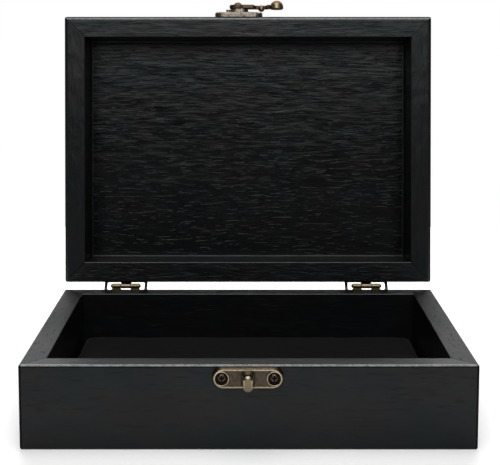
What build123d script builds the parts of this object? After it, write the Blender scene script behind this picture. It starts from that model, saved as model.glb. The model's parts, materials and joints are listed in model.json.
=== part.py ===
from build123d import *
from math import asin, cos, degrees, hypot, radians, sin
import os

os.makedirs("parts", exist_ok=True)

# Keepsake box: a mitred wooden base and a deep mitred lid on two stop hinges, held shut
# by a swing hook latch. Millimetres, +Z up, front at -Y, origin at the centre of the
# underside. Every piece of the lid is drawn where it lies when the box is shut, and
# lid_swing then turns its plane to the open rest position.

# Box
box_width = 200.0
box_depth = 145.0
base_height = 38.0
lid_height = 32.0
board_thickness = 11.0
corner_radius = 1.2
arris_radius = 1.0
inner_arris_radius = 0.45
shut_gap = 0.3

# Base bottom: a panel held in a groove all round, with a covered pad lying on it
bottom_panel_thickness = 4.0
bottom_panel_rise = 5.0
groove_depth = 4.0
groove_side_gap = 0.1
panel_edge_gap = 0.3
floor_pad_thickness = 6.5
floor_pad_side_gap = 0.5
floor_pad_corner_radius = 1.5
floor_pad_edge_radius = 1.2

# Lid top: a panel let into a rebate, flush with the outside
lid_panel_thickness = 3.0
rebate_width = 5.0
rebate_gap = 0.15

# Stop hinges
hinge_spacing = 131.7
hinge_offset = -1.0
hinge_axis_behind = 2.2
hinge_axis_above = 1.3
opening_angle = 96.0
leaf_width = 23.4
leaf_height = 14.0
leaf_thickness = 0.6
leaf_corner_radius = 2.5
leaf_bend_drop = 2.5
leaf_bend_radius = 0.6
leaf_ear_width = 1.5
leaf_window_radius = 0.9
base_window_rise = 0.5
lid_window_rise = -0.3
knuckle_radius = 1.35
centre_knuckle_length = 5.3
outer_knuckle_length = 4.6
knuckle_end_gap = 0.15
stop_gap = 0.01
pin_radius = 0.55
pin_clearance = 0.05
pin_head_radius = 1.05
pin_head_length = 0.7

# Screws through the hinge leaves
leaf_screw_spacing = 14.0
leaf_screw_drop = 8.5
leaf_screw_radius = 0.8
leaf_screw_head_radius = 1.55
leaf_screw_head_dome = 0.25
leaf_screw_length = 8.0

# Screws through the catch and the latch plate
plate_screw_radius = 1.0
plate_screw_head_radius = 2.05
plate_screw_head_edge = 0.6
plate_screw_head_dome = 0.75
plate_screw_length = 8.5
plate_screw_recess_radius = 2.85
plate_screw_recess_depth = 1.6

# Shared by all screws
screw_tip_length = 1.6
screw_hole_gap = 0.15
pilot_gap = 0.02
cross_width = 0.7
cross_share_of_head = 0.62
cross_depth = 0.6

# Catch: a cast plate with a post, on the front of the base
catch_offset = -0.4
catch_length = 30.8
catch_height = 9.4
catch_thickness = 3.0
catch_drop = 5.2
catch_screw_spacing = 22.8
plate_rim_width = 1.2
plate_rim_height = 0.4
plate_edge_chamfer = 0.6
screw_ring_width = 0.45
post_drop = 6.1
post_neck_width = 3.8
post_neck_height = 6.2
post_neck_end = 7.6
post_root_flare = 1.3
post_root_inset = 0.5
post_root_length = 1.3
post_head_side_lip = 0.25
post_head_end_lip = 0.4
post_head_length = 1.3
post_head_chamfer = 0.75

# Latch: a cast plate with a boss, on the front of the lid
latch_offset = -5.0
latch_length = 26.0
latch_height = 9.4
latch_thickness = 2.7
latch_rise = 5.1
latch_screw_spacing = 18.4
pivot_offset = -5.5
boss_base_radius = 4.6
boss_top_radius = 3.9
boss_stretch = 1.5
boss_height = 1.9
lug_radius = 1.3
lug_height = 1.75
lug_reach = 6.0
lug_angle = 150.0

# Swinging arm of the latch
arm_gap = 0.05
arm_thickness = 2.1
arm_edge_chamfer = 0.35
arm_eye_radius = 4.55
hook_width = 7.4
hook_jaw_thickness = 2.3
spine_inset = 1.7
hook_clearance = 0.35
hook_corner_radius = 1.2
hook_lip_radius = 0.6
arm_neck_radius = 2.0
bead_radius = 1.85
bead_reach = 12.9
bead_drop = 0.55
knob_radius = 3.65
knob_overlap = 0.6
knob_drop = 0.35
knob_skirt = 1.25
knob_edge_chamfer = 0.6
rivet_radius = 1.2
rivet_clearance = 0.05
rivet_head_radius = 2.25
rivet_head_height = 1.45
rivet_tail_radius = 2.0
rivet_tail_depth = 0.7

# Worked out from the sizes above
front_y = -box_depth / 2
rear_y = box_depth / 2
inner_width = box_width - 2 * board_thickness
inner_depth = box_depth - 2 * board_thickness
hinge_y = rear_y + hinge_axis_behind
hinge_z = base_height + hinge_axis_above
lid_rim_z = base_height + shut_gap
lid_top_z = lid_rim_z + lid_height
hinge_xs = {
    "left": hinge_offset - hinge_spacing / 2,
    "right": hinge_offset + hinge_spacing / 2,
}
catch_z = base_height - catch_drop
post_z = base_height - post_drop
pivot_z = lid_rim_z + latch_rise

lid_swing = (
    Location((0, hinge_y, hinge_z))
    * Location((0, 0, 0), (-opening_angle, 0, 0))
    * Location((0, -hinge_y, -hinge_z))
)


def on_base(plane):
    """Leaves a plane where it is."""
    return plane


def on_lid(plane):
    """Turns a plane drawn on the shut lid to the open lid."""
    return Plane(lid_swing * plane.location)


def section_of(face):
    """Gives the plane to draw a turned piece on: x is its radius and y its height above
    the origin of a face."""
    return Plane(origin=face.origin, x_dir=face.x_dir, z_dir=face.x_dir.cross(face.z_dir))


def turn(section, face):
    """Turns a drawn section about the normal of a face."""
    revolve(section.sketch, axis=Axis(face.origin, face.z_dir))


def keep(piece, name):
    """Labels a finished piece and writes its file."""
    piece.part.label = name
    export_step(piece.part, f"parts/{name}.step")


# Mitred frames. Four boards meet at 45 degrees, each its quarter of one rounded frame.


def round_both_rims(rims, up, radius):
    """Rounds the highest and the lowest of some edges."""
    fillet(rims.group_by(up)[-1] + rims.group_by(up)[0], radius)


def draw_frame(bottom, height):
    """Draws all four boards of a frame as one ring, with its arrises rounded."""
    up = Axis(bottom.origin, bottom.z_dir)
    with BuildSketch(bottom) as outside:
        RectangleRounded(box_width, box_depth, corner_radius)
    extrude(outside.sketch, amount=height)
    round_both_rims(edges(), up, arris_radius)
    with BuildSketch(bottom) as inside:
        Rectangle(inner_width, inner_depth)
    extrude(inside.sketch, amount=height, mode=Mode.SUBTRACT)
    round_both_rims(edges(Select.LAST), up, inner_arris_radius)


def draw_base_frame():
    """Draws the base frame with the groove for its bottom panel."""
    draw_frame(Plane.XY, base_height)
    with BuildSketch(Plane.XY.offset(bottom_panel_rise - groove_side_gap)) as groove:
        Rectangle(inner_width + 2 * groove_depth, inner_depth + 2 * groove_depth)
    groove_height = bottom_panel_thickness + 2 * groove_side_gap
    extrude(groove.sketch, amount=groove_height, mode=Mode.SUBTRACT)


def draw_lid_frame():
    """Draws the lid frame with the rebate for its top panel."""
    draw_frame(on_lid(Plane.XY.offset(lid_rim_z)), lid_height)
    with BuildSketch(on_lid(Plane.XY.offset(lid_top_z - lid_panel_thickness))) as rebate:
        Rectangle(inner_width + 2 * rebate_width, inner_depth + 2 * rebate_width)
    extrude(rebate.sketch, amount=lid_panel_thickness + arris_radius, mode=Mode.SUBTRACT)


def keep_board(bottom, height, side):
    """Cuts the frame at its mitres and keeps the board on one side."""
    reach = board_thickness
    corner_x = box_width / 2 + reach
    corner_y = box_depth / 2 + reach
    tip_x = corner_x - corner_y
    if side in ("front", "back"):
        facing = -1 if side == "front" else 1
        outline = [
            (-corner_x, facing * corner_y),
            (corner_x, facing * corner_y),
            (tip_x, 0),
            (-tip_x, 0),
        ]
    else:
        facing = -1 if side == "left" else 1
        outline = [
            (facing * corner_x, -corner_y),
            (facing * corner_x, corner_y),
            (facing * tip_x, 0),
        ]
    with BuildSketch(bottom) as quarter:
        Polygon(*outline, align=None)
    extrude(quarter.sketch, amount=height, mode=Mode.INTERSECT)


def drill_pilots(face, spots, radius, depth):
    """Drills blind pilot holes into a board from a face, against its normal."""
    with BuildSketch(face) as pilots:
        with Locations(*spots):
            Circle(radius + pilot_gap)
    extrude(pilots.sketch, amount=-depth - pilot_gap, mode=Mode.SUBTRACT)


# Where the screws are, as (x, z) on the shut box
base_bend_z = hinge_z - leaf_bend_drop
lid_bend_z = hinge_z + leaf_bend_drop
base_leaf_spots = {
    side: [(x + s * leaf_screw_spacing / 2, base_bend_z - leaf_screw_drop) for s in (-1, 1)]
    for side, x in hinge_xs.items()
}
lid_leaf_spots = {
    side: [(x + s * leaf_screw_spacing / 2, lid_bend_z + leaf_screw_drop) for s in (-1, 1)]
    for side, x in hinge_xs.items()
}
catch_spots = [(catch_offset + s * catch_screw_spacing / 2, catch_z) for s in (-1, 1)]
latch_spots = [(latch_offset + s * latch_screw_spacing / 2, pivot_z) for s in (-1, 1)]

# Faces of the shut box, with x to the right and y up. Their normals point at -Y.
front_face = Plane.XZ.offset(-front_y)
rear_face = Plane.XZ.offset(-rear_y)
leaf_screw_depth = leaf_screw_length - leaf_thickness
catch_seat = catch_thickness - plate_screw_recess_depth
latch_seat = latch_thickness - plate_screw_recess_depth

# Base boards
with BuildPart() as base_front_board:
    draw_base_frame()
    keep_board(Plane.XY, base_height, "front")
    drill_pilots(front_face, catch_spots, plate_screw_radius, plate_screw_length - catch_seat)
keep(base_front_board, "base_front_board")

with BuildPart() as base_back_board:
    draw_base_frame()
    keep_board(Plane.XY, base_height, "back")
    for spots in base_leaf_spots.values():
        drill_pilots(-rear_face, [(x, -z) for x, z in spots], leaf_screw_radius, leaf_screw_depth)
keep(base_back_board, "base_back_board")

with BuildPart() as base_left_board:
    draw_base_frame()
    keep_board(Plane.XY, base_height, "left")
keep(base_left_board, "base_left_board")

with BuildPart() as base_right_board:
    draw_base_frame()
    keep_board(Plane.XY, base_height, "right")
keep(base_right_board, "base_right_board")

# Base bottom panel, loose in its groove
panel_spread = 2 * (groove_depth - panel_edge_gap)
with BuildPart() as base_bottom_panel:
    with BuildSketch(Plane.XY.offset(bottom_panel_rise)):
        Rectangle(inner_width + panel_spread, inner_depth + panel_spread)
    extrude(amount=bottom_panel_thickness)
keep(base_bottom_panel, "base_bottom_panel")

# Covered pad on the bottom panel
floor_z = bottom_panel_rise + bottom_panel_thickness
with BuildPart() as base_floor_pad:
    with BuildSketch(Plane.XY.offset(floor_z)):
        RectangleRounded(
            inner_width - 2 * floor_pad_side_gap,
            inner_depth - 2 * floor_pad_side_gap,
            floor_pad_corner_radius,
        )
    extrude(amount=floor_pad_thickness)
    fillet(edges().group_by(Axis.Z)[-1], floor_pad_edge_radius)
keep(base_floor_pad, "base_floor_pad")

# Lid boards
lid_rim_plane = on_lid(Plane.XY.offset(lid_rim_z))

with BuildPart() as lid_front_rail:
    draw_lid_frame()
    keep_board(lid_rim_plane, lid_height, "front")
    drill_pilots(
        on_lid(front_face), latch_spots, plate_screw_radius, plate_screw_length - latch_seat
    )
keep(lid_front_rail, "lid_front_rail")

with BuildPart() as lid_back_rail:
    draw_lid_frame()
    keep_board(lid_rim_plane, lid_height, "back")
    for spots in lid_leaf_spots.values():
        drill_pilots(
            on_lid(-rear_face), [(x, -z) for x, z in spots], leaf_screw_radius, leaf_screw_depth
        )
keep(lid_back_rail, "lid_back_rail")

with BuildPart() as lid_left_stile:
    draw_lid_frame()
    keep_board(lid_rim_plane, lid_height, "left")
keep(lid_left_stile, "lid_left_stile")

with BuildPart() as lid_right_stile:
    draw_lid_frame()
    keep_board(lid_rim_plane, lid_height, "right")
keep(lid_right_stile, "lid_right_stile")

# Lid top panel, glued in its rebate
with BuildPart() as lid_panel:
    with BuildSketch(on_lid(Plane.XY.offset(lid_top_z - lid_panel_thickness))):
        Rectangle(
            inner_width + 2 * (rebate_width - rebate_gap),
            inner_depth + 2 * (rebate_width - rebate_gap),
        )
    extrude(amount=lid_panel_thickness)
keep(lid_panel, "lid_panel")

# Stop hinges. Each leaf is one bent strip. Its plate is screwed to the outside of the
# back, and past the plate it is cranked outwards by half the opening angle. A window
# leaves an ear at each end and the tongues that roll into the knuckles. When the lid is
# open the two cranks are in line and the ends of the ears meet: that is the stop.
crank = radians(90 - opening_angle / 2)
plate_middle_y = rear_y + leaf_thickness / 2
bend_to_axis = (hinge_y - plate_middle_y) * cos(crank) + leaf_bend_drop * sin(crank)
crank_length = bend_to_axis - stop_gap
crank_end = (crank_length * cos(crank), crank_length * sin(crank))
through_hinge = 4 * hinge_axis_behind
half_centre = centre_knuckle_length / 2
knuckle_start = half_centre + knuckle_end_gap
knuckle_stop = knuckle_start + outer_knuckle_length
window_half = leaf_width / 2 - leaf_ear_width


def draw_leaf(place, hinge_x, up, window_rise, tongues):
    """Draws a hinge leaf. up is 1 for the base leaf and -1 for the lid leaf, which faces
    it across the pin. window_rise is from the bend to the window, and tongues lists each
    knuckle's two ends from the middle of the hinge."""
    bend_z = hinge_z - up * leaf_bend_drop
    foot_z = bend_z - up * leaf_height
    with BuildSketch(place(Plane.YZ.offset(hinge_x - leaf_width / 2))) as strip:
        with BuildLine():
            FilletPolyline(
                (plate_middle_y, foot_z),
                (plate_middle_y, bend_z),
                (plate_middle_y + crank_end[0], bend_z + up * crank_end[1]),
                radius=leaf_bend_radius,
            )
        trace(line_width=leaf_thickness)
    extrude(strip.sketch, amount=leaf_width)

    # Rounded foot corners
    upwards = (Align.CENTER, Align.MIN if up > 0 else Align.MAX)
    with BuildSketch(place(rear_face)) as plate:
        with Locations((hinge_x, foot_z)):
            RectangleRounded(leaf_width, 4 * leaf_height, leaf_corner_radius, align=upwards)
    extrude(plate.sketch, amount=-through_hinge, mode=Mode.INTERSECT)

    # Window between the ears, spared where the tongues are
    window_z = bend_z + up * window_rise
    edges_x = [-window_half] + [x for tongue in tongues for x in tongue] + [window_half]
    for start, stop in zip(edges_x[::2], edges_x[1::2]):
        with BuildSketch(place(rear_face)) as window:
            with Locations((hinge_x + (start + stop) / 2, window_z)):
                RectangleRounded(stop - start, leaf_height, leaf_window_radius, align=upwards)
        extrude(window.sketch, amount=-through_hinge, mode=Mode.SUBTRACT)

    # Knuckles round the pin
    for start, stop in tongues:
        with BuildSketch(place(Plane.YZ.offset(hinge_x + start))) as knuckle:
            with Locations((hinge_y, hinge_z)):
                Circle(knuckle_radius)
        extrude(knuckle.sketch, amount=stop - start)
    with BuildSketch(place(Plane.YZ.offset(hinge_x - knuckle_stop))) as bore:
        with Locations((hinge_y, hinge_z)):
            Circle(pin_radius + pin_clearance)
    extrude(bore.sketch, amount=2 * knuckle_stop, mode=Mode.SUBTRACT)


def leaf_seat(place, spot):
    """Gives the plane under a leaf, at one of its screws, with its normal outwards."""
    x, z = spot
    return place(Plane(origin=(x, rear_y, z), x_dir=(-1, 0, 0), z_dir=(0, 1, 0)))


def sink_leaf_screws(place, spots):
    """Cuts the countersunk screw holes of a leaf."""
    for spot in spots:
        seat = leaf_seat(place, spot)
        with BuildSketch(seat) as inside:
            Circle(leaf_screw_radius + screw_hole_gap)
        with BuildSketch(seat.offset(leaf_thickness)) as outside:
            Circle(leaf_screw_head_radius + screw_hole_gap)
        loft([inside.sketch, outside.sketch], mode=Mode.SUBTRACT)


def draw_screw(seat, shank_radius, seat_radius, head_radius, edge_height, dome, length):
    """Turns one cross-head screw that enters the wood against the normal of seat. Its
    head widens from seat_radius to head_radius over edge_height, under a shallow dome."""
    top = edge_height + dome
    with BuildSketch(section_of(seat)) as half:
        with BuildLine():
            TangentArc((0, top), (head_radius, edge_height), tangent=(1, 0))
            Line((head_radius, edge_height), (seat_radius, 0))
            if seat_radius > shank_radius:
                Line((seat_radius, 0), (shank_radius, 0))
            Polyline((shank_radius, 0), (shank_radius, screw_tip_length - length),
                     (0, -length), (0, top))
        make_face()
    turn(half, seat)
    cross_length = 2 * head_radius * cross_share_of_head
    with BuildSketch(seat.offset(top - cross_depth)) as cross:
        Rectangle(cross_length, cross_width)
        Rectangle(cross_width, cross_length)
    extrude(cross.sketch, amount=2 * cross_depth, mode=Mode.SUBTRACT)


def draw_leaf_screws(place, spots):
    """Draws the countersunk screws of one leaf, with their heads in the leaf."""
    for spot in spots:
        draw_screw(leaf_seat(place, spot), leaf_screw_radius, leaf_screw_radius,
                   leaf_screw_head_radius, leaf_thickness, leaf_screw_head_dome,
                   leaf_screw_depth)


def draw_pin(hinge_x):
    """Turns a hinge pin with a domed head at each end."""
    half = knuckle_stop + knuckle_end_gap
    end = half + pin_head_length
    with BuildSketch(Plane(origin=(hinge_x, hinge_y, hinge_z))) as half_section:
        with BuildLine():
            TangentArc((-end, 0), (-half, pin_head_radius), tangent=(0, 1))
            Polyline((-half, pin_head_radius), (-half, pin_radius), (half, pin_radius),
                     (half, pin_head_radius))
            TangentArc((end, 0), (half, pin_head_radius), tangent=(0, 1))
            Line((end, 0), (-end, 0))
        make_face()
    revolve(half_section.sketch, axis=Axis((hinge_x, hinge_y, hinge_z), (1, 0, 0)))


base_tongues = [(-knuckle_stop, -knuckle_start), (knuckle_start, knuckle_stop)]
lid_tongues = [(-half_centre, half_centre)]

for side, hinge_x in hinge_xs.items():
    with BuildPart() as hinge_base_leaf:
        draw_leaf(on_base, hinge_x, 1, base_window_rise, base_tongues)
        sink_leaf_screws(on_base, base_leaf_spots[side])
    keep(hinge_base_leaf, f"{side}_hinge_base_leaf")

    with BuildPart() as hinge_lid_leaf:
        draw_leaf(on_lid, hinge_x, -1, lid_window_rise, lid_tongues)
        sink_leaf_screws(on_lid, lid_leaf_spots[side])
    keep(hinge_lid_leaf, f"{side}_hinge_lid_leaf")

    with BuildPart() as hinge_pin:
        draw_pin(hinge_x)
    keep(hinge_pin, f"{side}_hinge_pin")

    with BuildPart() as hinge_base_screws:
        draw_leaf_screws(on_base, base_leaf_spots[side])
    keep(hinge_base_screws, f"{side}_hinge_base_screws")

    with BuildPart() as hinge_lid_screws:
        draw_leaf_screws(on_lid, lid_leaf_spots[side])
    keep(hinge_lid_screws, f"{side}_hinge_lid_screws")

# Cast plates. The catch and the latch plate are alike: round-ended castings with a
# raised rim and a raised ring round each sunk screw.


def draw_plate(face, centre, length, height, thickness, spots):
    """Draws a round-ended plate on a face, with its rim and its screw rings raised."""
    field = thickness - plate_rim_height
    with BuildSketch(face) as outline:
        with Locations(centre):
            SlotOverall(length, height)
    extrude(outline.sketch, amount=thickness)
    chamfer(edges().group_by(Axis(face.origin, face.z_dir))[-1], plate_edge_chamfer)
    with BuildSketch(face.offset(field)) as sunk_field:
        with Locations(centre):
            SlotOverall(length - 2 * plate_rim_width, height - 2 * plate_rim_width)
        with Locations(*spots):
            Circle(plate_screw_recess_radius + screw_ring_width, mode=Mode.SUBTRACT)
    extrude(sunk_field.sketch, amount=plate_rim_height, mode=Mode.SUBTRACT)


def sink_plate_screws(face, thickness, spots):
    """Cuts the flat-bottomed screw recesses and their holes through a cast plate."""
    with BuildSketch(face.offset(thickness - plate_screw_recess_depth)) as recesses:
        with Locations(*spots):
            Circle(plate_screw_recess_radius)
    extrude(recesses.sketch, amount=plate_screw_recess_depth, mode=Mode.SUBTRACT)
    with BuildSketch(face) as holes:
        with Locations(*spots):
            Circle(plate_screw_radius + screw_hole_gap)
    extrude(holes.sketch, amount=thickness, mode=Mode.SUBTRACT)


def draw_plate_screws(place, seat_height, spots):
    """Draws the pan-head screws of a cast plate, seated in its recesses."""
    for x, z in spots:
        seat = place(Plane(origin=(x, front_y - seat_height, z), x_dir=(1, 0, 0),
                           z_dir=(0, -1, 0)))
        draw_screw(seat, plate_screw_radius, plate_screw_head_radius, plate_screw_head_radius,
                   plate_screw_head_edge, plate_screw_head_dome, plate_screw_length)


# Catch and its post. The post has a flared root as tall as the plate, a neck that the
# hook closes round and a wider head that keeps the hook on.
post_root_height = catch_height - 2 * post_root_inset
post_root_width = post_neck_width + 2 * post_root_flare
post_head_height = post_neck_height + 2 * post_head_end_lip
post_head_width = post_neck_width + 2 * post_head_side_lip
with BuildPart() as catch_plate:
    draw_plate(front_face, (catch_offset, catch_z), catch_length, catch_height,
               catch_thickness, catch_spots)
    sink_plate_screws(front_face, catch_thickness, catch_spots)
    root_start = catch_thickness - plate_rim_height
    with BuildSketch(front_face.offset(root_start)):
        with Locations((catch_offset, catch_z)):
            SlotOverall(post_root_height, post_root_width, rotation=90)
    with BuildSketch(front_face.offset(root_start + post_root_length)):
        with Locations((catch_offset, post_z)):
            SlotOverall(post_neck_height, post_neck_width, rotation=90)
    loft()
    with BuildSketch(front_face.offset(root_start)):
        with Locations((catch_offset, post_z)):
            SlotOverall(post_neck_height, post_neck_width, rotation=90)
    extrude(amount=post_neck_end - root_start)
    with BuildSketch(front_face.offset(post_neck_end)):
        with Locations((catch_offset, post_z)):
            SlotOverall(post_head_height, post_head_width, rotation=90)
    extrude(amount=post_head_length)
    chamfer(edges().group_by(Axis(front_face.origin, front_face.z_dir))[-1], post_head_chamfer)
keep(catch_plate, "catch_plate")

with BuildPart() as catch_screws:
    draw_plate_screws(on_base, catch_seat, catch_spots)
keep(catch_screws, "catch_screws")

# Latch plate with the boss that the arm turns on, drawn out a little towards the knob,
# and the small lug beside it
lid_front_face = on_lid(front_face)
pivot_face = on_lid(Plane(origin=(pivot_offset, front_y, pivot_z), x_dir=(1, 0, 0),
                          z_dir=(0, -1, 0)))
with BuildPart() as latch_plate:
    draw_plate(lid_front_face, (latch_offset, pivot_z), latch_length, latch_height,
               latch_thickness, latch_spots)
    with BuildSketch(pivot_face.offset(latch_thickness - plate_rim_height)):
        with Locations((boss_stretch / 2, 0)):
            SlotOverall(2 * boss_base_radius + boss_stretch, 2 * boss_base_radius)
    with BuildSketch(pivot_face.offset(latch_thickness + boss_height)):
        with Locations((boss_stretch / 2, 0)):
            SlotOverall(2 * boss_top_radius + boss_stretch, 2 * boss_top_radius)
    loft()
    with BuildSketch(pivot_face):
        with PolarLocations(lug_reach, 1, start_angle=lug_angle):
            Circle(lug_radius)
    extrude(amount=latch_thickness + lug_height)
    sink_plate_screws(lid_front_face, latch_thickness, latch_spots)
    with BuildSketch(pivot_face):
        Circle(rivet_radius + rivet_clearance)
    extrude(amount=latch_thickness + boss_height, mode=Mode.SUBTRACT)
    with BuildSketch(pivot_face):
        Circle(rivet_tail_radius + rivet_clearance)
    extrude(amount=rivet_tail_depth, mode=Mode.SUBTRACT)
keep(latch_plate, "latch_plate")

with BuildPart() as latch_screws:
    draw_plate_screws(on_lid, latch_seat, latch_spots)
keep(latch_screws, "latch_screws")

# Rivet through the arm, the boss and the plate, spread in a recess at the back
arm_start = latch_thickness + boss_height + arm_gap
arm_end = arm_start + arm_thickness
rivet_head_start = arm_end + arm_gap
rivet_top = rivet_head_start + rivet_head_height
with BuildPart() as latch_rivet:
    with BuildSketch(section_of(pivot_face)) as rivet_section:
        with BuildLine():
            TangentArc((0, rivet_top), (rivet_head_radius, rivet_head_start), tangent=(1, 0))
            Polyline((rivet_head_radius, rivet_head_start), (rivet_radius, rivet_head_start),
                     (rivet_radius, rivet_tail_depth), (rivet_tail_radius, rivet_tail_depth),
                     (rivet_tail_radius, pilot_gap), (0, pilot_gap), (0, rivet_top))
        make_face()
    turn(rivet_section, pivot_face)
keep(latch_rivet, "latch_rivet")

# Arm of the latch, one casting: an eye, a hook whose notch is cut along two arcs about
# the pivot so that it can swing past the neck of the post, a bead on the spine behind
# the notch, and a domed knob at the end. x runs from the pivot to the knob.
post_across = catch_offset - pivot_offset
post_down = pivot_z - post_z
neck_radius = post_neck_width / 2
neck_half_straight = (post_neck_height - post_neck_width) / 2
notch_inner = (hypot(post_across, post_down - neck_half_straight) - neck_radius
               - hook_clearance)
notch_outer = (hypot(post_across, post_down + neck_half_straight) + neck_radius
               + hook_clearance)
hook_reach = notch_outer + hook_jaw_thickness
hook_length = hook_reach - hook_width / 2
knob_reach = hook_reach + knob_radius - knob_overlap
bead_height = (arm_start + arm_end) / 2 - bead_drop
bead_across = (spine_inset + hook_width / 2) / 2
arm_face = pivot_face.offset(arm_start)

with BuildPart() as latch_arm:
    with BuildSketch(arm_face):
        Circle(arm_eye_radius)
        with Locations((hook_length / 2, 0)):
            SlotCenterToCenter(hook_length, hook_width)
        with BuildLine():
            inner_start = degrees(asin(spine_inset / notch_inner))
            outer_start = degrees(asin(spine_inset / notch_outer))
            inner_arc = CenterArc((0, 0), notch_inner, inner_start, -90)
            outer_arc = CenterArc((0, 0), notch_outer, outer_start, -90)
            Line(inner_arc @ 0, outer_arc @ 0)
            Line(inner_arc @ 1, outer_arc @ 1)
        make_face(mode=Mode.SUBTRACT)
        notch_corners = vertices().sort_by_distance(inner_arc @ 0)[:1]
        notch_corners += vertices().sort_by_distance(outer_arc @ 0)[:1]
        fillet(notch_corners, hook_corner_radius)
        lips = vertices().filter_by(lambda v: v.X > arm_eye_radius and v.Y < -hook_width / 4)
        fillet(lips, hook_lip_radius)
        eye_sides = vertices().filter_by(lambda v: v.X < arm_eye_radius)
        fillet(eye_sides, arm_neck_radius)
    extrude(amount=arm_thickness)
    across_arm = Axis(arm_face.origin, arm_face.z_dir)
    rims = edges().group_by(across_arm)[0] + edges().group_by(across_arm)[-1]
    chamfer(rims, arm_edge_chamfer)
    bead_face = Plane(pivot_face.location * Location((bead_reach, bead_across, bead_height)))
    with Locations(bead_face.location):
        Sphere(bead_radius)
    knob_face = Plane(pivot_face.location * Location((knob_reach, 0, arm_start - knob_drop)))
    with BuildSketch(section_of(knob_face)) as knob_section:
        with BuildLine():
            Polyline((0, 0), (knob_radius, 0), (knob_radius, knob_skirt))
            CenterArc((0, knob_skirt), knob_radius, 0, 90)
            Line((0, knob_skirt + knob_radius), (0, 0))
        make_face()
        chamfer(vertices().sort_by_distance((knob_radius, 0))[:1], knob_edge_chamfer)
    turn(knob_section, knob_face)
    with BuildSketch(arm_face) as rivet_hole:
        Circle(rivet_radius + rivet_clearance)
    extrude(rivet_hole.sketch, amount=arm_thickness, mode=Mode.SUBTRACT)
keep(latch_arm, "latch_arm")
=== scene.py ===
import json
import math

import bmesh
import bpy
from mathutils import Euler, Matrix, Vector, noise


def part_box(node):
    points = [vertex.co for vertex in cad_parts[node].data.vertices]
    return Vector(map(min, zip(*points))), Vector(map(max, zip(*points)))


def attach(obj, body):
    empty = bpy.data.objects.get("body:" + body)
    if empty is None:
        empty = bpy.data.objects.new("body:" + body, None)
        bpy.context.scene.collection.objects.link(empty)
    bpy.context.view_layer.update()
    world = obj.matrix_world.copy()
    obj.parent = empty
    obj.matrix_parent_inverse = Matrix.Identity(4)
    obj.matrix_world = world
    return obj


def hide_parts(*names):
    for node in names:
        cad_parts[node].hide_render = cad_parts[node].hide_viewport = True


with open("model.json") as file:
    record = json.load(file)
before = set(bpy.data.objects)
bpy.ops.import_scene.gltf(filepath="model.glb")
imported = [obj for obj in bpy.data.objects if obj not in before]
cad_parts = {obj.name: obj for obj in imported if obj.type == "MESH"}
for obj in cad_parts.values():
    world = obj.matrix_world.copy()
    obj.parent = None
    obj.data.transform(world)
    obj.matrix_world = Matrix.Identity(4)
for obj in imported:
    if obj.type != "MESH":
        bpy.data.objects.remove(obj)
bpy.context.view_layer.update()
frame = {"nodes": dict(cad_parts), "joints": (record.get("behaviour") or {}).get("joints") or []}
nodes = frame["nodes"]

# Places taken from the frame, in metres
joints = {joint["name"]: joint for joint in frame["joints"]}
hinge_axis = Vector(joints["lid_hinge"]["pos_m"])
latch_pivot = Vector(joints["latch_swing"]["pos_m"])
opening = math.radians(joints["lid_hinge"]["range_deg"][1])
front_low, front_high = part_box("base_front_board")
pad_low, pad_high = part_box("base_floor_pad")
half_width = -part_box("base_left_board")[0].x
half_depth = -front_low.y
board_thickness = front_high.y - front_low.y
base_height = front_high.z


# Camera, at the photograph's viewing angle

camera_place = (-0.0019, -0.60476, 0.19471)
camera_pitch = math.radians(6.863)
camera_sensor = 36.0
camera_lens = 91.118
camera_shift = (0.01108, -0.16)


def make_camera():
    data = bpy.data.cameras.new("camera")
    data.lens = camera_lens
    data.sensor_width = camera_sensor
    data.shift_x, data.shift_y = camera_shift
    camera = bpy.data.objects.new("camera", data)
    camera.location = camera_place
    camera.rotation_euler = (math.radians(90) - camera_pitch, 0, 0)
    bpy.context.scene.collection.objects.link(camera)
    bpy.context.scene.camera = camera


# Light: soft boxes in front, overhead and high behind

front_aim = (0, 0.05, 0.1)
soft_boxes = {
    "low_front_light": {"place": (0, -0.85, 0.42), "aim": front_aim, "size": (0.8, 0.2), "watts": 1.1},
    "high_front_light": {"place": (0, -0.75, 0.6), "aim": front_aim, "size": (0.8, 0.25), "watts": 2.4},
    "top_light": {"place": (0, -0.2, 0.95), "aim": (0, -0.2, 0.1), "size": (0.7, 0.9), "watts": 6},
    "back_light": {"place": (0, 0.6, 0.75), "aim": (0, 0, 0.1), "size": (0.8, 0.3), "watts": 10},
}


def make_soft_box(name, place, aim, size, watts):
    data = bpy.data.lights.new(name, "AREA")
    data.shape = "RECTANGLE"
    data.size, data.size_y = size
    data.energy = watts
    light = bpy.data.objects.new(name, data)
    light.location = place
    light.rotation_euler = (Vector(aim) - Vector(place)).to_track_quat("-Z", "Y").to_euler()
    bpy.context.scene.collection.objects.link(light)


def make_lights():
    for name, settings in soft_boxes.items():
        make_soft_box(name, **settings)


# Shader helpers

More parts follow.
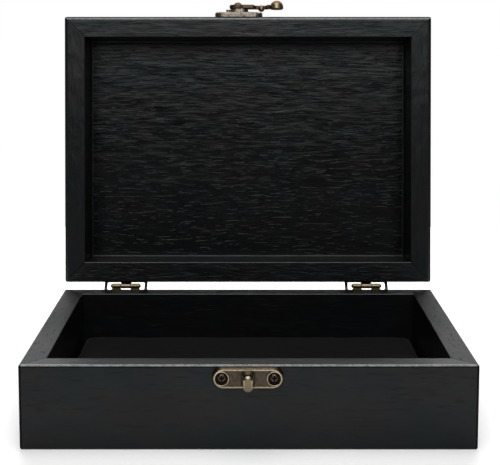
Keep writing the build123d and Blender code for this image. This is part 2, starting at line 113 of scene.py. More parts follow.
class Tree:
    """A node tree with short ways to add and join nodes."""

    def __init__(self, tree):
        self.tree = tree
        tree.nodes.clear()

    def add(self, kind, **settings):
        node = self.tree.nodes.new(kind)
        for name, value in settings.items():
            setattr(node, name, value)
        return node

    def join(self, source, target):
        self.tree.links.new(source, target)

    def put(self, target, value):
        """Joins an output to a socket, or sets the socket's own value."""
        if isinstance(value, bpy.types.NodeSocket):
            self.join(value, target)
        else:
            target.default_value = value

    def put_all(self, targets, values):
        for target, value in zip(targets, values):
            self.put(target, value)

    def math(self, operation, *values):
        node = self.add("ShaderNodeMath", operation=operation)
        self.put_all(node.inputs, values)
        return node.outputs[0]

    def times(self, first, second):
        return self.math("MULTIPLY", first, second)

    def minus(self, first, second):
        return self.math("SUBTRACT", first, second)

    def absolute(self, value):
        return self.math("ABSOLUTE", value)

    def larger(self, first, second):
        return self.math("MAXIMUM", first, second)

    def above(self, value, level):
        """1 where the value is above the level, and 0 elsewhere."""
        return self.math("GREATER_THAN", value, level)

    def below(self, value, level):
        """1 where the value is below the level, and 0 elsewhere."""
        return self.math("LESS_THAN", value, level)

    def summed(self, start, *terms):
        """Adds to start each value times its weight."""
        for value, weight in terms:
            start = self.math("MULTIPLY_ADD", value, weight, start)
        return start

    def ramp(self, value, low, high, out_low=0.0, out_high=1.0):
        """Goes from out_low to out_high, while the value goes from low to high."""
        node = self.add("ShaderNodeMapRange")
        names = ("Value", "From Min", "From Max", "To Min", "To Max")
        self.put_all((node.inputs[name] for name in names), (value, low, high, out_low, out_high))
        return node.outputs[0]

    def mix(self, factor, first, second):
        """Mixes two colours."""
        node = self.add("ShaderNodeMix", data_type="RGBA")
        self.put(node.inputs["Factor"], factor)
        self.put_all(node.inputs[6:8], (first, second))
        return node.outputs[2]

    def combine(self, *numbers):
        """Makes a vector from three numbers."""
        node = self.add("ShaderNodeCombineXYZ")
        self.put_all(node.inputs, numbers)
        return node.outputs[0]

    def split(self, vector):
        """Gives the three numbers of a vector."""
        node = self.add("ShaderNodeSeparateXYZ")
        self.join(vector, node.inputs[0])
        return node.outputs

    def length(self, vector):
        node = self.add("ShaderNodeVectorMath", operation="LENGTH")
        self.join(vector, node.inputs[0])
        return node.outputs["Value"]

    def mapped(self, vector, scale=(1, 1, 1), place=(0, 0, 0), turn=(0, 0, 0)):
        node = self.add("ShaderNodeMapping")
        self.put(node.inputs["Vector"], vector)
        self.put(node.inputs["Location"], place)
        self.put(node.inputs["Rotation"], turn)
        self.put(node.inputs["Scale"], scale)
        return node.outputs[0]

    def pattern(self, vector, scale, detail=2.0, roughness=0.5, place=(0, 0, 0)):
        """A noise pattern, with scale cells in a metre along x, y and z."""
        node = self.add("ShaderNodeTexNoise")
        self.put(node.inputs["Vector"], self.mapped(vector, scale, place))
        self.put(node.inputs["Scale"], 1.0)
        self.put(node.inputs["Detail"], detail)
        self.put(node.inputs["Roughness"], roughness)
        return node.outputs["Fac"]

    def bump(self, height, distance, normal=None):
        node = self.add("ShaderNodeBump")
        self.put(node.inputs["Strength"], 1.0)
        self.put(node.inputs["Distance"], distance)
        self.put(node.inputs["Height"], height)
        if normal is not None:
            self.join(normal, node.inputs["Normal"])
        return node.outputs[0]


def grey(level, tint=(1.0, 1.0, 1.0)):
    return (level * tint[0], level * tint[1], level * tint[2], 1.0)


def new_material(name):
    material = bpy.data.materials.new(name)
    material.use_nodes = True
    tree = Tree(material.node_tree)
    shader = tree.add("ShaderNodeBsdfPrincipled")
    out = tree.add("ShaderNodeOutputMaterial")
    tree.join(shader.outputs[0], out.inputs[0])
    place = tree.add("ShaderNodeTexCoord").outputs["Object"]
    return material, tree, shader, place


def give(node, material):
    """Puts a material in every slot of a CAD node."""
    for slot in nodes[node].material_slots:
        slot.material = material


# Patterns are laid out on the shut box, so on the lid they are turned back by the opening

def turned(vector, turn):
    vector = vector.copy()
    vector.rotate(turn)
    return vector


def shutting_turn(on_lid):
    return Euler((opening if on_lid else 0, 0, 0))


def opening_turn(on_lid):
    return Euler((-opening if on_lid else 0, 0, 0))


def shut_point(tree, place, on_lid):
    """Gives the three numbers of a surface point's place on the shut box."""
    turn = shutting_turn(on_lid)
    return tree.split(tree.mapped(place, turn=turn, place=hinge_axis - turned(hinge_axis, turn)))


def shut_normal(tree, on_lid):
    """Gives the three numbers of the surface's normal, as it points on the shut box."""
    normal = tree.add("ShaderNodeTexCoord").outputs["Normal"]
    return tree.split(tree.mapped(normal, turn=shutting_turn(on_lid)))


def eased_normal(tree, slope, outward, upward, where, on_lid):
    """Gives the surface's normal, leant outwards by a slope from 0 to 1 where asked.
    outward holds the signs of x and y to lean to, and upward the sign of z."""
    rise = tree.math("SQRT", tree.minus(1.0, tree.times(slope, slope)))
    lean_x, lean_y = (tree.times(slope, sign) for sign in outward)
    leant = tree.combine(lean_x, lean_y, tree.times(rise, upward))
    world = tree.add("ShaderNodeVectorTransform", vector_type="NORMAL", convert_from="OBJECT",
                     convert_to="WORLD")
    tree.join(tree.mapped(leant, turn=opening_turn(on_lid)), world.inputs[0])
    choose = tree.add("ShaderNodeMix", data_type="VECTOR")
    tree.put(choose.inputs["Factor"], where)
    tree.join(tree.add("ShaderNodeNewGeometry").outputs["Normal"], choose.inputs[4])
    tree.join(world.outputs[0], choose.inputs[5])
    return choose.outputs[1]


# Arrises of the boards: how wide they are eased, and how wide their dull outer line is, which carries
# painted shade

eased_width = {"lid": 0.002, "base": 0.0011}
dull_shaded_width = {"lid": 0.0009, "base": 0.00014}
inner_polish = 0.4
least_upright = 0.02
upright_arris_range = (0.02, 0.15)
outer_arris_range = (0.05, 0.35)
inner_arris_range = (0.01, 0.08)


def shape_arrises(tree, along, on_lid, point, normal):
    """Rounds the outer arrises further, as handling does, and polishes them. They stay matte,
    and are painted darker as shade, along the line where they run out into the outside faces,
    and so do the upright ones.
    Gives the rounded normal, how polished each point is, and how matte and shade-painted it is."""
    x, y, _ = point
    upward = tree.summed(-1.0, (tree.above(normal[2], 0.0), 2.0))
    across_x, across_y, upright = (tree.absolute(part) for part in normal)
    half, away = (half_depth, y) if along == "x" else (half_width, x)
    from_edge = tree.minus(half, tree.absolute(away))
    sign = tree.math("SIGN", away)
    outward = (0.0, sign) if along == "x" else (sign, 0.0)
    body = "lid" if on_lid else "base"
    width, dull_shaded_reach = eased_width[body], dull_shaded_width[body]

    slope = tree.ramp(from_edge, 0.0, width, 1.0, 0.0)
    off_wall = tree.above(upright, least_upright)
    near_edge = tree.times(tree.below(from_edge, width), off_wall)
    rounded = eased_normal(tree, slope, outward, upward, near_edge, on_lid)

    # The outer edge line and the upright arrises are matte, and paint_wood paints them darker as shade
    edge_line = tree.ramp(from_edge, 0.5 * dull_shaded_reach, dull_shaded_reach, 1.0, 0.0)
    upright_arris = tree.ramp(tree.times(across_x, across_y), *upright_arris_range)
    dull_and_shaded = tree.larger(tree.times(edge_line, off_wall), upright_arris)

    outer = tree.times(tree.ramp(slope, *outer_arris_range), near_edge)
    outer = tree.times(outer, tree.minus(1.0, dull_and_shaded))
    oblique = tree.times(upright, tree.minus(1.0, upright))
    inner = tree.times(tree.ramp(oblique, *inner_arris_range), tree.above(from_edge, width))
    polished = tree.summed(outer, (inner, inner_polish))
    return rounded, polished, dull_and_shaded


# Grain of the boards. The first number of a scale is along the board.

seed_distance = 0.31
drift_scale = (14, 40, 40)
drift_reach = (0.0, 0.009, 0.009)
waved_patterns = {
    "ridges": {"scale": (80, 640, 640), "detail": 3.0, "roughness": 0.55},
    "fibres": {"scale": (120, 1300, 1300), "roughness": 0.6},
    "dashes": {"scale": (130, 900, 900), "detail": 1.0, "place": (3, 1, 7)},
}
dash_range = (0.62, 0.70)
straight_patterns = {
    "patches": {"scale": (22, 32, 32), "place": (1, 8, 4)},
    "tones": {"scale": (35, 60, 60), "place": (6, 2, 9)},
    "waver": {"scale": (420, 420, 420), "detail": 1.0, "place": (2, 2, 5)},
    "uneven": {"scale": (90, 160, 160), "detail": 1.0, "place": (9, 1, 2)},
}


def grain_patterns(tree, along, seed, point):
    """Gives a board's patterns by name, from 0 to 1. Some of them wave with the grain."""
    x, y, z = point
    length, width = (x, y) if along == "x" else (y, x)
    board = tree.combine(tree.math("ADD", length, seed * seed_distance), width, z)
    wave = tree.add("ShaderNodeVectorMath", operation="MULTIPLY_ADD")
    tree.put_all(wave.inputs, (tree.pattern(board, drift_scale), drift_reach, board))
    patterns = {}
    for name, look in waved_patterns.items():
        patterns[name] = tree.pattern(wave.outputs[0], **look)
    for name, look in straight_patterns.items():
        patterns[name] = tree.pattern(board, **look)
    patterns["dashes"] = tree.ramp(patterns["dashes"], *dash_range)
    return patterns


# Mitre seams, where the distances from the box's middle along x and y differ by the offset

mitre_offset = half_width - half_depth
mitre_half_width = 0.00013
mitre_waver = 0.00035
waver_range = (0.2, 0.8)
bridged_range = (0.35, 0.55)
bridged_seam = 0.4


def mitre_seams(tree, point, patterns):
    """A hairline at each mitre, wavering, and fainter where paint bridges it."""
    x, y, _ = point
    off_seam = tree.minus(tree.absolute(x), tree.absolute(y))
    waver = tree.ramp(patterns["waver"], *waver_range, -mitre_waver, mitre_waver)
    off_seam = tree.math("ADD", off_seam, waver)
    off_seam = tree.absolute(tree.minus(off_seam, mitre_offset))
    seam = tree.ramp(off_seam, mitre_half_width, 3 * mitre_half_width, 1.0, 0.0)
    return tree.times(seam, tree.ramp(patterns["tones"], *bridged_range, bridged_seam, 1.0))


# Painted wood. Grain runs along x, or along y on the boards at the sides.

cool_paint, warm_paint = (0.80, 1.0, 1.14), (1.06, 0.99, 1.0)
cool_sheen, warm_sheen = (0.82, 0.97, 1.0, 1.0), (1.0, 0.96, 0.97, 1.0)
# Sheen of the dull arris lines, painted darker as shade
shaded_edge_sheen = (0.25, 0.27, 0.28, 1.0)
grain_range, tone_range, polish_range = (0.3, 0.7), (0.35, 0.65), (0.3, 0.6)
level_range = (0.8, 0.95)
patch_shade = (0.75, 1.25)
grain_shade = {"ridges": (-0.5, 0.6), "fibres": (-0.3, 0.3)}
# How much dashes and seams darken the paint, and how much darker the dull arris lines are painted, as
# shade
dash_shade, seam_shade, painted_edge_shade = -0.8, 0.15, 0.3
patch_rough = (0.34, 0.27)
dash_rough, seam_rough, dull_rough = 0.15, 0.3, 0.4
polish_rough = 0.16
polish_index = 2.05
least_polish = 0.6
fibre_height, dash_height, seam_height = 0.25, -0.35, -1.5
grain_depth = 0.00028
uneven_depth = 0.0003


def paint_wood(name, along, on_lid, relief, seed, mitred=True, level=0.004, gloss=0.2,
               rim_rough=0.0, polish=1.0):
    """along is x or y. relief is how strongly the grain stands out, and seed is what part
    of it a board shows. level is how light the paint is. rim_rough is added to the
    roughness of level faces, and polish is how much the arrises shine."""
    material, tree, shader, place = new_material(name)
    point = shut_point(tree, place, on_lid)
    normal = shut_normal(tree, on_lid)
    rounded, polished, dull_and_shaded = shape_arrises(tree, along, on_lid, point, normal)
    patterns = grain_patterns(tree, along, seed, point)
    seam = mitre_seams(tree, point, patterns) if mitred else 0.0
    dashes = patterns["dashes"]

    warmth = tree.ramp(patterns["tones"], *tone_range)
    colour = tree.mix(warmth, grey(level, cool_paint), grey(level, warm_paint))
    light = tree.ramp(patterns["patches"], *grain_range, *patch_shade)
    for pattern, (at_low, at_high) in grain_shade.items():
        ends = (1 + at_low * relief, 1 + at_high * relief)
        light = tree.times(light, tree.ramp(patterns[pattern], *grain_range, *ends))
    # Dashes and seams darken the paint, and the dull arris lines are painted darker as shade
    for mark, shade in ((dashes, 1 + dash_shade * relief), (seam, seam_shade), (dull_and_shaded, painted_edge_shade)):
        light = tree.times(light, tree.ramp(mark, 0, 1, 1.0, shade))
    lit = tree.add("ShaderNodeVectorMath", operation="SCALE")
    tree.put(lit.inputs[0], colour)
    tree.put(lit.inputs["Scale"], light)
    tree.join(lit.outputs[0], shader.inputs["Base Color"])

    level_face = tree.ramp(tree.absolute(normal[2]), *level_range)
    rough = tree.ramp(patterns["patches"], *grain_range, *patch_rough)
    rough = tree.summed(rough, (level_face, rim_rough), (dashes, dash_rough),
                        (seam, seam_rough), (dull_and_shaded, dull_rough))
    tree.join(rough, shader.inputs["Roughness"])
    # The dull arris lines get a darker sheen, as painted shade
    sheen = tree.mix(dull_and_shaded, tree.mix(warmth, cool_sheen, warm_sheen), shaded_edge_sheen)
    tree.join(sheen, shader.inputs["Specular Tint"])
    tree.put(shader.inputs["Specular IOR Level"], gloss)

    uneven_polish = tree.ramp(patterns["waver"], *polish_range, least_polish * polish, polish)
    tree.join(tree.times(polished, uneven_polish), shader.inputs["Coat Weight"])
    tree.join(rounded, shader.inputs["Coat Normal"])
    tree.put(shader.inputs["Coat Roughness"], polish_rough)
    tree.put(shader.inputs["Coat IOR"], polish_index)

    height = tree.summed(patterns["ridges"], (patterns["fibres"], fibre_height),
                         (dashes, dash_height), (seam, seam_height))
    grained = tree.bump(height, grain_depth * relief, normal=rounded)
    uneven = tree.bump(patterns["uneven"], uneven_depth, normal=grained)
    tree.join(uneven, shader.inputs["Normal"])
    return material


# Boards and panels: each board's grain direction and seed, and how its paint looks

board_grain = {"front": ("x", 1), "back": ("x", 2), "left": ("y", 4), "right": ("y", 5)}
lid_seed_step = 7
base_rim_rough = {"front": 0.11, "back": 0.03, "left": 0.24, "right": 0.25}
base_polish = {"front": 0.6, "back": 0.6, "left": 0.15, "right": 0.15}
base_relief = 0.3
lid_look = {"relief": 0.6, "gloss": 0.23, "rim_rough": -0.02, "polish": 0.6}
# The lid panel's paint is set darker than the boards', as painted shade for its deep recess
lid_panel_look = {"relief": 0.5, "seed": 21, "mitred": False, "level": 0.0016, "gloss": 0.21,
                  "rim_rough": -0.08}
bottom_panel_look = {"relief": 0.8, "seed": 25, "mitred": False}


def paint_boards():
    for side, (along, seed) in board_grain.items():
        node = f"base_{side}_board"
        give(node, paint_wood(f"paint_{node}", along, False, base_relief, seed,
                              rim_rough=base_rim_rough[side], polish=base_polish[side]))
    for side, (along, seed) in board_grain.items():
        member = "rail" if along == "x" else "stile"
        node = f"lid_{side}_{member}"
        give(node, paint_wood(f"paint_{node}", along, True, seed=seed + lid_seed_step, **lid_look))
    give("lid_panel", paint_wood("paint_lid_panel", "x", True, **lid_panel_look))
    give("base_bottom_panel", paint_wood("paint_bottom_panel", "x", False, **bottom_panel_look))


# Antique brass: dark in hollows, rubbed bright where it is touched, with painted highlights and painted
# dark crowns on some parts, and a speckled cast skin

brass_tint = (0.25, 0.21, 0.16, 1)
blotch_scale = (900, 900, 900)
fine_scale = (2600, 2600, 2600)
dark_rough, worn_rough = 0.2, -0.12
fine_height = 0.4
hollow_samples, bevel_samples = 8, 6
hollow_range = (0.35, 0.9)
speckle_range = (0.45, 0.7)
patchy_range, patchy_wear = (0.3, 0.55), 0.5


def cast_brass(name, rubbed_and_lit, worn_and_lit, mid, dark, on_lid=False, rough=0.36, edge_radius=0.0003,
               speckle=0.5, reach=0.0016, skin=0.00004):
    """The function given first works out where the metal wears bright, from the place and the
    normal on the shut box; on some parts it also paints highlights lighter and crowns darker,
    as painted light and shade. The colour after it is that of bright wear and painted
    highlights, and mid and dark are the colours of faces and hollows. reach is how
    near something has to be to count as a hollow. skin is how deep the cast grain is."""
    material, tree, shader, place = new_material(name)
    tree.put(shader.inputs["Metallic"], 1.0)
    tree.put(shader.inputs["Specular Tint"], brass_tint)
    blotch = tree.pattern(place, blotch_scale, detail=3.0, roughness=0.65)
    fine = tree.pattern(place, fine_scale, place=(4, 2, 8))

    hollow = tree.add("ShaderNodeAmbientOcclusion", samples=hollow_samples)
    tree.put(hollow.inputs["Distance"], reach)
    hollow = tree.ramp(hollow.outputs["AO"], *hollow_range, 1.0, 0.0)
    # Wear, with painted highlights and painted dark crowns on some parts
    worn_and_lit_share = rubbed_and_lit(tree, shut_point(tree, place, on_lid), shut_normal(tree, on_lid))
    worn_and_lit_share = tree.times(worn_and_lit_share, tree.ramp(blotch, *patchy_range, patchy_wear, 1.0))
    worn_and_lit_share = tree.times(worn_and_lit_share, tree.minus(1.0, hollow))
    dark_share = tree.larger(hollow, tree.ramp(blotch, *speckle_range, 0.0, speckle))

    colour = tree.mix(worn_and_lit_share, tree.mix(dark_share, mid, dark), worn_and_lit)
    tree.join(colour, shader.inputs["Base Color"])
    roughness = tree.summed(rough, (dark_share, dark_rough), (worn_and_lit_share, worn_rough))
    tree.join(roughness, shader.inputs["Roughness"])
    bevel = tree.add("ShaderNodeBevel", samples=bevel_samples)
    tree.put(bevel.inputs["Radius"], edge_radius)
    height = tree.summed(blotch, (fine, fine_height))
    tree.join(tree.bump(height, skin, normal=bevel.outputs[0]), shader.inputs["Normal"])
    return material


# Where the brass is rubbed and where it carries painted highlight and shade, with heights off the box's
# front face and places on the parts

crest_height = {"catch_plate": 0.0030, "latch_plate": 0.0027}
crest_soft = 0.00012
facing_range = (0.85, 0.97)
post_end_start, post_end_full = 0.004, 0.005
post_end_loss = 0.65
# Between these heights the crests grow lighter upwards, as painted highlight
low_crest = base_height - 0.0095
high_crest = base_height - 0.003
low_crest_share = 0.6
knuckle_radius = 0.00145
knuckle_soft = 0.0003
knob_radius = 0.0037
knob_edge = (-0.0002, 0.0004)
bead_place = latch_pivot.x + 0.0129
bead_range, bead_share = (0.0009, 0.0014), 0.8
# Crowns that face out from the box are kept dark, as painted dark reflection
shaded_crown_range, shaded_crown_share = (-0.75, -0.3), 0.1
rivet_share = 0.8
dome_range = (0.99, 0.997)


def rubbed_and_highlit_crest(height):
    """The crests of a plate's rim and screw rings, and the chamfers of what stands higher,
    with a little of its end. The upper crests are painted lighter, as highlight."""
    def rubbed_and_lit(tree, point, facing):
        off_face = tree.minus(-half_depth, point[1])
        flat = tree.ramp(tree.absolute(facing[1]), *facing_range)
        crest = tree.times(tree.math("COMPARE", off_face, height, crest_soft), flat)
        end = tree.ramp(off_face, height + post_end_start, height + post_end_full)
        end = tree.times(end, tree.summed(1.0, (flat, -post_end_loss)))
        # Upper crests lighter: painted highlight
        share = tree.ramp(point[2], low_crest, high_crest, low_crest_share, 1.0)
        return tree.times(tree.larger(crest, end), share)
    return rubbed_and_lit


def rubbed_knuckle(tree, point, facing):
    """What lies near the axis of the hinge pins, between the pins' ends. The axis stays where
    it is when the lid turns, so this also holds for the lid's leaves."""
    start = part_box("left_hinge_pin")[0].x
    inner_end, end = (corner.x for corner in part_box("right_hinge_pin"))
    middle = (start + end) / 2
    from_middle = tree.absolute(tree.minus(point[0], middle))
    between = tree.times(tree.above(from_middle, inner_end - middle),
                         tree.below(from_middle, end - middle))
    across = tree.combine(0.0, tree.minus(point[1], hinge_axis.y), tree.minus(point[2], hinge_axis.z))
    near = tree.ramp(tree.length(across), knuckle_radius, knuckle_radius + knuckle_soft, 1.0, 0.0)
    return tree.times(near, between)


def rubbed_knob_shaded_crown(tree, point, facing):
    """The knob at the end of the latch arm, and the bead behind it, with their crowns kept dark as
    painted dark reflection.
    """
    knob_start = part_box("latch_arm")[1].x - 2 * knob_radius
    knob = tree.ramp(point[0], knob_start + knob_edge[0], knob_start + knob_edge[1])
    from_bead = tree.absolute(tree.minus(point[0], bead_place))
    bead = tree.ramp(from_bead, *bead_range, bead_share, 0.0)
    # The crown is left dark, as painted dark reflection
    return tree.times(tree.larger(knob, bead), off_shaded_crown(tree, facing))


def off_shaded_crown(tree, facing):
    """1 on the sides of what stands out from the box, and little on its crown, which is kept dark as a
    painted dark reflection.
    """
    return tree.ramp(facing[1], *shaded_crown_range, shaded_crown_share, 1.0)


def rubbed_sides_shaded_crown(tree, point, facing):
    """The sides of a rivet's domed head, its crown kept dark as painted dark reflection."""
    return tree.times(rivet_share, off_shaded_crown(tree, facing))


def rubbed_dome(tree, point, facing):
    """The domes of screw heads, and not the flat bottoms of their crosses."""
    return tree.ramp(tree.absolute(facing[1]), *dome_range, 1.0, 0.0)


# Hardware, in colours of worn brass with painted highlights, plain brass and darkened brass

gold, pale_gold = (0.40, 0.33, 0.22, 1), (0.40, 0.33, 0.26, 1)
arm_gold, rivet_gold = (0.34, 0.27, 0.16, 1), (0.24, 0.20, 0.15, 1)
knuckle_gold = {"base": (0.15, 0.127, 0.064, 1), "lid": (0.18, 0.135, 0.098, 1)}
pale, bronze, arm_bronze = (0.27, 0.23, 0.19, 1), (0.065, 0.052, 0.038, 1), (0.11, 0.075, 0.05, 1)
brown, olive = (0.085, 0.066, 0.052, 1), (0.035, 0.032, 0.02, 1)
umber, soot = (0.015, 0.012, 0.008, 1), (0.006, 0.005, 0.004, 1)


def plate_latch():
    give("catch_plate", cast_brass("catch_brass", rubbed_and_highlit_crest(crest_height["catch_plate"]),
                                   gold, bronze, umber, edge_radius=0.0005))
    give("latch_plate", cast_brass("latch_brass", rubbed_and_highlit_crest(crest_height["latch_plate"]),
                                   pale_gold, pale, umber, on_lid=True, reach=0.0008, speckle=0.8))
    give("latch_arm", cast_brass("arm_brass", rubbed_knob_shaded_crown, arm_gold, arm_bronze, umber,
                                 on_lid=True, rough=0.42, skin=0.000015))
    give("latch_rivet", cast_brass("rivet_brass", rubbed_sides_shaded_crown, rivet_gold, bronze, umber,
                                   on_lid=True, rough=0.28, skin=0.00001))


def plate_hinges():
    for body, knuckle in knuckle_gold.items():
        sheet = cast_brass(f"hinge_{body}_brass", rubbed_knuckle, knuckle, olive, soot,
                           rough=0.3, speckle=0.35, reach=0.0012, skin=0.00001)
        for side in ("left", "right"):
            give(f"{side}_hinge_{body}_leaf", sheet)
    pin = cast_brass("pin_brass", rubbed_knuckle, bronze, olive, soot)
    for side in ("left", "right"):
        give(f"{side}_hinge_pin", pin)


def plate_screws():
    screw = cast_brass("screw_brass", rubbed_dome, brown, soot, soot, rough=0.4, reach=0.0012)
    for node in nodes:
        if node.endswith("_screws"):
            give(node, screw)


# Covered pad: a thin board of foam with short-pile cloth pulled over it

pad_inset = 0.0003
pad_corner = 0.0015
pad_corner_steps = 4
pad_voxel = 0.002
pad_pressure = 4.0
pad_swell_limit = 0.0006
cloth_steps = 20
pad_top_zone = 0.0015
pad_ripples = {38: 1.0, 95: 0.5}
pad_ripple_height = 0.00012
pad_tint = (1.0, 0.96, 1.1)
pad_dark, pad_light = 0.0011, 0.0024
pile_scale, nap_scale, mottle_scale = (2400, 2400, 2400), (90, 140, 90), (420, 420, 420)
nap_share, mottle_share = 0.7, 0.5
shade_range = (0.35, 0.85)
pile_share = 0.6
pile_depth = 0.00012


def pad_cloth():
    material, tree, shader, place = new_material("pad_cloth")
    pile = tree.pattern(place, pile_scale)
    nap = tree.pattern(place, nap_scale, detail=3.0, place=(2, 5, 1))
    mottle = tree.pattern(place, mottle_scale, place=(7, 3, 3))
    shade = tree.ramp(tree.summed(tree.times(nap, nap_share), (mottle, mottle_share)), *shade_range)
    colour = tree.mix(shade, grey(pad_dark, pad_tint), grey(pad_light, pad_tint))
    tree.join(colour, shader.inputs["Base Color"])
    tree.put(shader.inputs["Roughness"], 0.9)
    tree.put(shader.inputs["Specular IOR Level"], 0.07)
    tree.put(shader.inputs["Sheen Weight"], 0.03)
    tree.put(shader.inputs["Sheen Roughness"], 0.5)
    height = tree.summed(mottle, (pile, pile_share))
    tree.join(tree.bump(height, pile_depth), shader.inputs["Normal"])
    return material


def link_mesh(name, shape, material, smooth=True):
    """Turns a bmesh into a linked object."""
    mesh = bpy.data.meshes.new(name)
    shape.to_mesh(mesh)
    shape.free()
    shade_smooth(mesh, smooth)
    mesh.materials.append(material)
    piece = bpy.data.objects.new(name, mesh)
    bpy.context.scene.collection.objects.link(piece)
    return piece


def shade_smooth(mesh, smooth=True):
    mesh.polygons.foreach_set("use_smooth", [smooth] * len(mesh.polygons))


def rounded_block(low, high, corner, steps):
    """A closed block with rounded upright corners."""
    shape = bmesh.new()
    bmesh.ops.create_cube(shape, size=1)
    size, middle = high - low, (high + low) / 2
    for vertex in shape.verts:
        vertex.co = Vector(c * s for c, s in zip(vertex.co, size)) + middle
    upright = [e for e in shape.edges if abs(e.verts[0].co.z - e.verts[1].co.z) > 1e-6]
    bmesh.ops.bevel(shape, geom=upright, offset=corner, segments=steps, affect="EDGES")
    return shape


def apply_modifiers(piece):
    """Bakes a piece's modifiers into its mesh."""
    graph = bpy.context.evaluated_depsgraph_get()
    mesh = bpy.data.meshes.new_from_object(piece.evaluated_get(graph))
    piece.modifiers.clear()
    piece.data = mesh


def swell(piece, pressure, limit, floor_z):
    """Inflates a piece as cloth, and lets no point move further than limit."""
    start = [vertex.co.copy() for vertex in piece.data.vertices]
    cloth = piece.modifiers.new("cloth", "CLOTH")
    cloth.settings.use_pressure = True
    cloth.settings.uniform_pressure_force = pressure
    cloth.settings.effector_weights.gravity = 0
    scene = bpy.context.scene
    for step in range(cloth_steps):
        scene.frame_set(1 + step)
    apply_modifiers(piece)
    scene.frame_set(1)
    for vertex, old in zip(piece.data.vertices, start):
        move = vertex.co - old
        if move.length > limit:
            vertex.co = old + move * (limit / move.length)
        vertex.co.z = max(vertex.co.z, floor_z)


def ripple(pad):
    """Lets the top of the pad rise and fall slightly, and no higher than the CAD pad."""
    for vertex in pad.data.vertices:
        lift = sum(share * noise.noise(vertex.co * scale) for scale, share in pad_ripples.items())
        if vertex.co.z > pad_high.z - pad_top_zone:
            vertex.co.z = min(vertex.co.z + pad_ripple_height * lift, pad_high.z)


def make_pad():
    inset = Vector((pad_inset + pad_swell_limit, pad_inset + pad_swell_limit, 0))
    low, high = pad_low + inset, pad_high - inset
    high.z -= pad_swell_limit
    shape = rounded_block(low, high, pad_corner, pad_corner_steps)
    pad = link_mesh("floor_pad_cover", shape, pad_cloth())
    remesh = pad.modifiers.new("remesh", "REMESH")
    remesh.mode = "VOXEL"
    remesh.voxel_size = pad_voxel
    apply_modifiers(pad)
    swell(pad, pad_pressure, pad_swell_limit, pad_low.z)
    ripple(pad)
    finer = pad.modifiers.new("subdivision", "SUBSURF")
    finer.levels = finer.render_levels = 1
    apply_modifiers(pad)
    shade_smooth(pad.data)
    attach(pad, "base")
    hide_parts("base_floor_pad")


# Bead of paint in the corner between the lid's panel and its four walls

bead_leg = 0.0011
bead_arc_steps = 5
bead_look = {"relief": 0.3, "seed": 31, "mitred": False, "polish": 0.2}


def shut_box(node):
    """Gives a lid node's lowest and highest corners on the shut box."""
    turn = shutting_turn(True)
    points = [turned(v.co - hinge_axis, turn) + hinge_axis for v in nodes[node].data.vertices]
    return (Vector(map(min, zip(*points))), Vector(map(max, zip(*points))))


def make_paint_bead():
    """A ring with a hollow face, drawn on the shut lid and turned open with it."""
    panel_face = shut_box("lid_panel")[0].z
    reach = Vector((half_width - board_thickness, half_depth - board_thickness))
    section = [(0.0, 0.0)]
    for step in range(bead_arc_steps + 1):
        angle = math.radians(90) * step / bead_arc_steps
        section.append((bead_leg * (1 - math.sin(angle)), bead_leg * (1 - math.cos(angle))))
    back = opening_turn(True)
    shape = bmesh.new()
    rings = []
    for side_x, side_y in ((-1, -1), (1, -1), (1, 1), (-1, 1)):
        corner = []
        for from_wall, from_panel in section:
            point = Vector((side_x * (reach.x - from_wall), side_y * (reach.y - from_wall),
                            panel_face - from_panel))
            corner.append(shape.verts.new(turned(point - hinge_axis, back) + hinge_axis))
        rings.append(corner)
    for number, corner in enumerate(rings):
        after = rings[(number + 1) % len(rings)]
        for k in range(len(section)):
            following = (k + 1) % len(section)
            shape.faces.new((corner[k], after[k], after[following], corner[following]))
    bmesh.ops.recalc_face_normals(shape, faces=shape.faces)
    paint = paint_wood("paint_bead", "x", True, **bead_look)
    bead = link_mesh("lid_paint_bead", shape, paint, smooth=False)
    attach(bead, "lid")


# White floor, which glows for the camera and in reflections, more strongly further from the box

floor_radius = 0.5
floor_sides = 96
floor_grey = 0.8
glow_distance = (0.15, 0.6)
glow_strength = (0.2, 0.8)


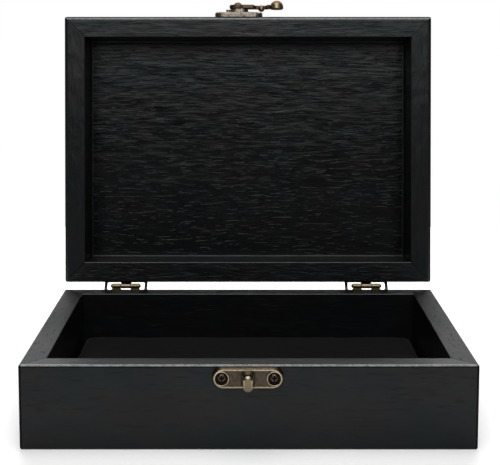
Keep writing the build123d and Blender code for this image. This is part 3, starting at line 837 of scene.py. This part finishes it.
def make_floor():
    material = bpy.data.materials.new("studio_floor")
    material.use_nodes = True
    tree = Tree(material.node_tree)
    out = tree.add("ShaderNodeOutputMaterial")
    diffuse = tree.add("ShaderNodeBsdfDiffuse")
    tree.put(diffuse.inputs["Color"], grey(floor_grey))
    glow = tree.add("ShaderNodeEmission")
    tree.put(glow.inputs["Color"], grey(1.0))
    from_middle = tree.length(tree.add("ShaderNodeTexCoord").outputs["Object"])
    tree.join(tree.ramp(from_middle, *glow_distance, *glow_strength), glow.inputs["Strength"])
    both = tree.add("ShaderNodeAddShader")
    tree.put_all(both.inputs, (diffuse.outputs[0], glow.outputs[0]))
    choose = tree.add("ShaderNodeMixShader")
    tree.put_all(choose.inputs, (seen_directly(tree), diffuse.outputs[0], both.outputs[0]))
    tree.join(choose.outputs[0], out.inputs[0])

    shape = bmesh.new()
    bmesh.ops.create_circle(shape, cap_ends=True, segments=floor_sides, radius=floor_radius)
    floor = link_mesh("studio_floor", shape, material)


def seen_directly(tree):
    """1 where the camera, a mirror or a glass looks, and 0 for light on surfaces."""
    path = tree.add("ShaderNodeLightPath")
    rays = ("Is Camera Ray", "Is Glossy Ray", "Is Transmission Ray")
    camera, glossy, clear = (path.outputs[name] for name in rays)
    return tree.larger(camera, tree.larger(glossy, clear))


# Surroundings: a dim room, with a white backdrop behind the box that glossy surfaces see too

room_grey = 0.08
backdrop_grey = 1.0
backdrop_start, backdrop_full = 0.5, 0.85


def make_world():
    world = bpy.data.worlds.new("studio")
    world.use_nodes = True
    bpy.context.scene.world = world
    tree = Tree(world.node_tree)
    out = tree.add("ShaderNodeOutputWorld")
    background = tree.add("ShaderNodeBackground")
    tree.join(background.outputs[0], out.inputs[0])
    _, backward, _ = tree.split(tree.add("ShaderNodeTexCoord").outputs["Generated"])
    behind = tree.ramp(backward, backdrop_start, backdrop_full)
    path = tree.add("ShaderNodeLightPath")
    seen = tree.larger(path.outputs["Is Camera Ray"], path.outputs["Is Transmission Ray"])
    seen = tree.larger(seen, tree.times(path.outputs["Is Glossy Ray"], behind))
    tree.join(tree.mix(seen, grey(room_grey), grey(backdrop_grey)), background.inputs["Color"])


make_camera()
make_lights()
make_world()
make_floor()
paint_boards()
plate_latch()
plate_hinges()
plate_screws()
make_pad()
make_paint_bead()

bpy.context.scene.view_settings.view_transform = "Standard"
